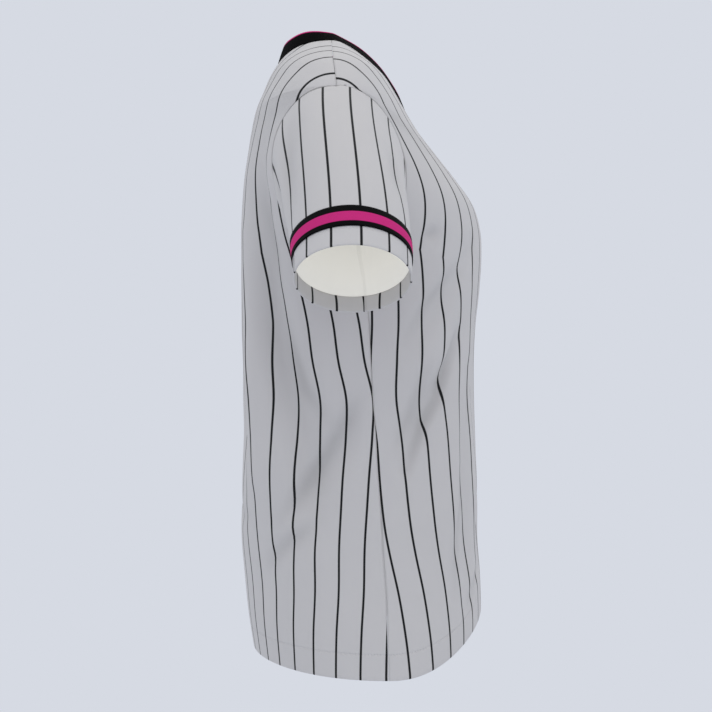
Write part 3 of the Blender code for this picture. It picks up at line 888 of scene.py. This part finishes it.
def total(tree, *values):
    """The sum of several sockets."""
    result = values[0]
    for value in values[1:]:
        result = maths(tree, "ADD", result, value)
    return result


def scaled(tree, value, size):
    """A socket times a number."""
    return maths(tree, "MULTIPLY", value, size)


def knit_relief(tree, wale):
    """Height of interlock knit: fine upright wales, each crossed by its courses."""
    across, down = measure(tree, "across"), measure(tree, "down")
    wales = wave(tree, across, wale)
    courses = wave(tree, down, wale * COURSE_SHARE)
    return scaled(tree, maths(tree, "MULTIPLY", wales, courses), KNIT_HEIGHT)


def cloth_noise(tree, size, height):
    """Soft unevenness of hanging cloth, with lumps about that size."""
    place = add_node(tree, "ShaderNodeTexCoord").outputs["Object"]
    settings = {"Scale": 1 / size, "Detail": NOISE_DETAIL, "Roughness": NOISE_ROUGHNESS}
    noise = add_node(tree, "ShaderNodeTexNoise", settings, {"Vector": place})
    return scaled(tree, noise.outputs["Fac"], height)


def printed_knit(name, settings, phase, stitches_up):
    """Sublimation-printed polyester interlock.

    The eye sees a smooth matt grey face with crisp, thin, near-black pinstripes, a soft sheen
    where it turns away, a shallow groove along each seam and a row of stitches above the hem.
    """
    material, tree, shader = new_material(name, KNIT_FINISH)
    across = measure(tree, "across")
    to_seam, to_hem = measure(tree, "to_seam"), measure(tree, "to_hem")
    ink = near(tree, to_nearest(tree, across, settings.stripe_pitch, phase), 0.0,
               settings.stripe_width / 2, STRIPE_SOFT)
    tone = cloth_noise(tree, TONE_SIZE, TONE_DEPTH)
    paler = tuple(min(1.0, part * (1 + TONE_DEPTH)) for part in settings.cloth_colour[:3]) + (1.0,)
    face = mix(tree, scaled(tree, tone, 1 / TONE_DEPTH), settings.cloth_colour, paler)
    # Painted shade: the colour is darkened towards black in fold and crease troughs, standing in
    # for the soft shadow there.
    painted_shade = maths(tree, "MULTIPLY", measure(tree, "painted_shade"), 1.0, clamp=True)
    face = mix(tree, scaled(tree, painted_shade, HOLLOW_SHADE), face, BLACK)
    tree.links.new(mix(tree, ink, face, settings.stripe_colour), shader.inputs["Base Color"])
    seam = near(tree, to_seam, 0.0, SEAM_GROOVE, SEAM_GROOVE)
    row = near(tree, to_hem, stitches_up, STITCH_GROOVE, STITCH_GROOVE)
    puckers = maths(tree, "MULTIPLY", row, wave(tree, across, settings.stitch))
    height = total(
        tree,
        knit_relief(tree, settings.wale),
        scaled(tree, seam, -SEAM_DEPTH),
        scaled(tree, row, -STITCH_DEPTH),
        scaled(tree, puckers, STITCH_DEPTH / 2),
        cloth_noise(tree, PUCKER_SIZE, PUCKER_HEIGHT),
    )
    roughen(tree, shader, height)
    return material


def plain_inside(name, settings, glow):
    """The same knit's unprinted back: flat white with small purl bumps and no stripes.

    The eye sees it brighter than the face: a painted glow of its own colour stands in for daylight
    coming through the thin cloth.
    """
    material, tree, shader = new_material(name, INSIDE_FINISH)
    shader.inputs["Base Color"].default_value = settings.inside_colour
    # Painted light: an emission of the inside's own colour stands in for daylight through the
    # cloth.
    shader.inputs["Emission Color"].default_value = settings.inside_colour
    shader.inputs["Emission Strength"].default_value = glow
    roughen(tree, shader, knit_relief(tree, settings.wale))
    return material


def rib_knit(settings):
    """Black two-by-one rib: fine ribs run across the band, and its folded edge is magenta."""
    material, tree, shader = new_material("Black cotton rib with magenta tipping", RIB_FINISH)
    across, to_fold = measure(tree, "across"), measure(tree, "to_fold")
    tip = near(tree, to_fold, -TIPPING_OUT, settings.tipping / 2, TIPPING_SOFT)
    colour = mix(tree, tip, settings.black, settings.magenta)
    tree.links.new(colour, shader.inputs["Base Color"])
    mitre = near(tree, across, 0.0, SEAM_GROOVE, SEAM_GROOVE)
    height = total(
        tree,
        scaled(tree, wave(tree, across, settings.rib), RIB_HEIGHT),
        scaled(tree, wave(tree, to_fold, settings.rib), RIB_HEIGHT / 3),
        scaled(tree, mitre, -SEAM_DEPTH),
    )
    roughen(tree, shader, height)
    return material


def knitted_braid(settings):
    """Flat knitted braid: slanting loops with a magenta middle between two black edges."""
    material, tree, shader = new_material("Knitted polyester braid", BRAID_FINISH)
    across, down = measure(tree, "across"), measure(tree, "down")
    middle = near(tree, down, BRAID_WIDTH / 2, BRAID_MIDDLE / 2, BRAID_SOFT)
    colour = mix(tree, middle, settings.black, settings.magenta)
    tree.links.new(colour, shader.inputs["Base Color"])
    slant = maths(tree, "ADD", across, maths(tree, "PINGPONG", down, BRAID_LOOP * 2))
    change = total(
        tree,
        near(tree, down, (BRAID_WIDTH - BRAID_MIDDLE) / 2, BRAID_LOOP / 4, BRAID_LOOP / 4),
        near(tree, down, (BRAID_WIDTH + BRAID_MIDDLE) / 2, BRAID_LOOP / 4, BRAID_LOOP / 4),
    )
    height = total(
        tree,
        scaled(tree, wave(tree, slant, BRAID_LOOP), BRAID_RELIEF),
        scaled(tree, change, -BRAID_RELIEF),
    )
    roughen(tree, shader, height)
    return material


def backdrop_paper(settings):
    """Seamless matt studio paper, lit as evenly as a light tent."""
    material, _, shader = new_material("Matt backdrop paper", PAPER_FINISH)
    shader.inputs["Base Color"].default_value = BLACK
    shader.inputs["Emission Color"].default_value = settings.backdrop_colour
    shader.inputs["Emission Strength"].default_value = BACKDROP_GLOW
    return material


def once(name, make, *facts):
    """A material that several pieces share, made by the first of them."""
    return bpy.data.materials.get(name) or make(name, *facts)


def dress(piece, node):
    """Hangs the piece from the root and hides the part that it replaces."""
    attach(piece, "root")
    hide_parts(node)


def make_panel(panel, settings):
    """Makes the front or the back, with its turned-up hem."""
    points, normal, measures = panel_sheet(panel)
    points, measures = turned_hem(points, normal, measures, BODY_HEM)
    face = once("Printed body knit", printed_knit, settings, BODY_PHASE, BODY_HEM)
    inside = once("White back of the body knit", plain_inside, settings, BODY_GLOW)

    def outward(place):
        """Away from the body's upright axis."""
        return Vector((place[0], place[1], 0.0))

    piece = cloth_piece(panel + "_cloth", points, measures, False, (face, inside), CLOTH, outward)
    dress(piece, panel)


class JERSEY_OT_make_front(bpy.types.Operator):
    """Cuts and folds the front panel, with its turned-up hem"""
    bl_idname = "jersey.make_front"
    bl_label = "Front"

    def execute(self, context):
        make_panel("front", context.scene.jersey_cloth)
        return {"FINISHED"}


class JERSEY_OT_make_back(bpy.types.Operator):
    """Cuts and folds the back panel, with its turned-up hem"""
    bl_idname = "jersey.make_back"
    bl_label = "Back"

    def execute(self, context):
        make_panel("back", context.scene.jersey_cloth)
        return {"FINISHED"}


class JERSEY_OT_make_sleeves(bpy.types.Operator):
    """Sets in both sleeves, with their hems turned up inside"""
    bl_idname = "jersey.make_sleeves"
    bl_label = "Sleeves"

    def execute(self, context):
        settings = context.scene.jersey_cloth
        points, normal, measures = sleeve_sheet()
        points, measures = turned_hem(points, normal, measures, CUFF_HEM)
        face = printed_knit("Printed sleeve knit", settings, SLEEVE_PHASE, CUFF_HEM)
        inside = plain_inside("White back of the sleeve knit", settings, SLEEVE_GLOW)
        made = left_and_right("sleeve_cloth_", points, measures, (face, inside), CLOTH)
        for side, piece in made.items():
            dress(piece, "sleeve_" + side)
        return {"FINISHED"}


class JERSEY_OT_make_braids(bpy.types.Operator):
    """Lays the black and magenta braid round each sleeve, above its hem"""
    bl_idname = "jersey.make_braids"
    bl_label = "Sleeve braids"

    def execute(self, context):
        settings = context.scene.jersey_trim
        points, normal, measures = sleeve_sheet()
        up = measures["to_hem"].mean(axis=1)
        rows = np.where((up <= CUFF_HEM + BRAID_WIDTH + CLOSE) & (up >= CUFF_HEM - CLOSE))[0]
        share = (up[rows] - CUFF_HEM) / BRAID_WIDTH
        arch = np.sqrt(np.sin(math.pi * np.clip(share, 0, 1)))
        crown = BRAID_CLOTH * (BRAID_EDGE + (1 - BRAID_EDGE) * arch)
        raised = points[rows] + normal[rows] * (SEAM_GAP + crown)[:, None, None]
        laid = {
            "across": measures["across"][rows],
            "down": np.repeat(((1 - share) * BRAID_WIDTH)[:, None], points.shape[1], axis=1),
        }
        braid = knitted_braid(settings)
        wall = BRAID_CLOTH * BRAID_EDGE
        made = left_and_right("sleeve_braid_cloth_", raised, laid, (braid,), wall)
        for side, piece in made.items():
            dress(piece, "sleeve_braid_" + side)
        return {"FINISHED"}


class JERSEY_OT_make_neckband(bpy.types.Operator):
    """Folds the ribbed neckband round the neck, mitred at the point of the V"""
    bl_idname = "jersey.make_neckband"
    bl_label = "Neckband"

    def execute(self, context):
        points, measures = neckband_sheet()
        rib = rib_knit(context.scene.jersey_trim)
        faces = unit(points[BAND_ROWS // 2] - points[-BAND_ROWS // 2])
        middles = points[BAND_ROWS // 2]

        def outward(place):
            """Away from the middle of the folded band."""
            nearest = np.linalg.norm(middles - np.array(place), axis=1).argmin()
            side = (np.array(place) - middles[nearest]) @ faces[nearest]
            return Vector(faces[nearest]) * (1.0 if side > -BAND_FOLD_SPACE / 2 else -1.0)

        piece = cloth_piece("neckband_cloth", points, measures, True, (rib,), BAND_KNIT, outward)
        dress(piece, "neckband")
        return {"FINISHED"}


def put_up(scene, data, place, target):
    """Puts a lamp or a camera at a place, looking at a target."""
    thing = bpy.data.objects.new(data.name, data)
    thing.location = place
    thing.rotation_euler = (Vector(target) - Vector(place)).to_track_quat("-Z", "Y").to_euler()
    scene.collection.objects.link(thing)
    return thing


class JERSEY_OT_make_stage(bpy.types.Operator):
    """Puts up the paper backdrop, the lamps and the camera"""
    bl_idname = "jersey.make_stage"
    bl_label = "Stage"

    def execute(self, context):
        scene = context.scene
        bm = bmesh.new()
        places = [(0.0, FLOOR_Z)]
        for step in range(STAGE_STEPS + 1):
            angle = math.pi / 2 * step / STAGE_STEPS
            height = FLOOR_Z + STAGE_CURVE * (1 - math.cos(angle))
            away = STAGE_RADIUS - STAGE_CURVE + STAGE_CURVE * math.sin(angle)
            places.append((away, height))
        places.append((STAGE_RADIUS, FLOOR_Z + STAGE_HEIGHT))
        profile = [bm.verts.new((away, 0.0, height)) for away, height in places]
        edges = [bm.edges.new(pair) for pair in zip(profile[:-1], profile[1:])]
        bmesh.ops.spin(bm, geom=profile + edges, axis=(0, 0, 1), cent=(0, 0, 0),
                       angle=2 * math.pi, steps=STAGE_SPIN, use_merge=True)
        bmesh.ops.remove_doubles(bm, verts=bm.verts[:], dist=CLOSE)
        mesh = bpy.data.meshes.new("backdrop")
        bm.to_mesh(mesh)
        bm.free()
        mesh.shade_smooth()
        mesh.materials.append(backdrop_paper(scene.jersey_stage))
        backdrop = bpy.data.objects.new("backdrop", mesh)
        scene.collection.objects.link(backdrop)

        world = bpy.data.worlds.new("Studio air")
        world.use_nodes = True
        air = world.node_tree.nodes["Background"]
        air.inputs["Color"].default_value = WHITE
        air.inputs["Strength"].default_value = AIR_LIGHT
        scene.world = world

        for name, place, size, power in LAMPS:
            lamp = bpy.data.lights.new(name, "AREA")
            lamp.shape = "DISK"
            lamp.size = size
            lamp.energy = power
            put_up(scene, lamp, place, AIM)

        camera = bpy.data.cameras.new("photo camera")
        camera.sensor_width = CAMERA_SENSOR
        camera.lens = CAMERA_LENS
        scene.camera = put_up(scene, camera, CAMERA_PLACE, (0.0, *CAMERA_PLACE[1:]))
        scene.view_settings.view_transform = "Standard"
        scene.view_settings.look = "None"
        return {"FINISHED"}


class JERSEY_PT_panel(bpy.types.Panel):
    """The jersey's sizes, colours and pieces"""
    bl_idname = "JERSEY_PT_panel"
    bl_label = "Sports jersey"
    bl_space_type = "VIEW_3D"
    bl_region_type = "UI"
    bl_category = "Jersey"

    def draw(self, context):
        for name in GROUPS:
            group = getattr(context.scene, name)
            box = self.layout.box()
            for key in group.bl_rna.properties.keys():
                if key not in ("rna_type", "name"):
                    box.prop(group, key)
        for operator in OPERATORS:
            self.layout.operator(operator.bl_idname)


GROUPS = {
    "jersey_cloth": JerseyClothSettings,
    "jersey_trim": JerseyTrimSettings,
    "jersey_stage": JerseyStageSettings,
}
OPERATORS = (
    JERSEY_OT_make_stage,
    JERSEY_OT_make_front,
    JERSEY_OT_make_back,
    JERSEY_OT_make_sleeves,
    JERSEY_OT_make_braids,
    JERSEY_OT_make_neckband,
)


def register():
    """Adds the jersey's settings, tools and sidebar panel."""
    for group in GROUPS.values():
        bpy.utils.register_class(group)
    for key, group in GROUPS.items():
        setattr(bpy.types.Scene, key, bpy.props.PointerProperty(type=group))
    for operator in OPERATORS:
        bpy.utils.register_class(operator)
    bpy.utils.register_class(JERSEY_PT_panel)


def unregister():
    """Takes them away again."""
    bpy.utils.unregister_class(JERSEY_PT_panel)
    for operator in reversed(OPERATORS):
        bpy.utils.unregister_class(operator)
    for key, group in GROUPS.items():
        delattr(bpy.types.Scene, key)
        bpy.utils.unregister_class(group)


def main():
    """Builds the stage and the pieces."""
    register()
    bpy.ops.jersey.make_stage()
    bpy.ops.jersey.make_front()
    bpy.ops.jersey.make_back()
    bpy.ops.jersey.make_sleeves()
    bpy.ops.jersey.make_braids()
    bpy.ops.jersey.make_neckband()


if __name__ == "__main__":
    main()
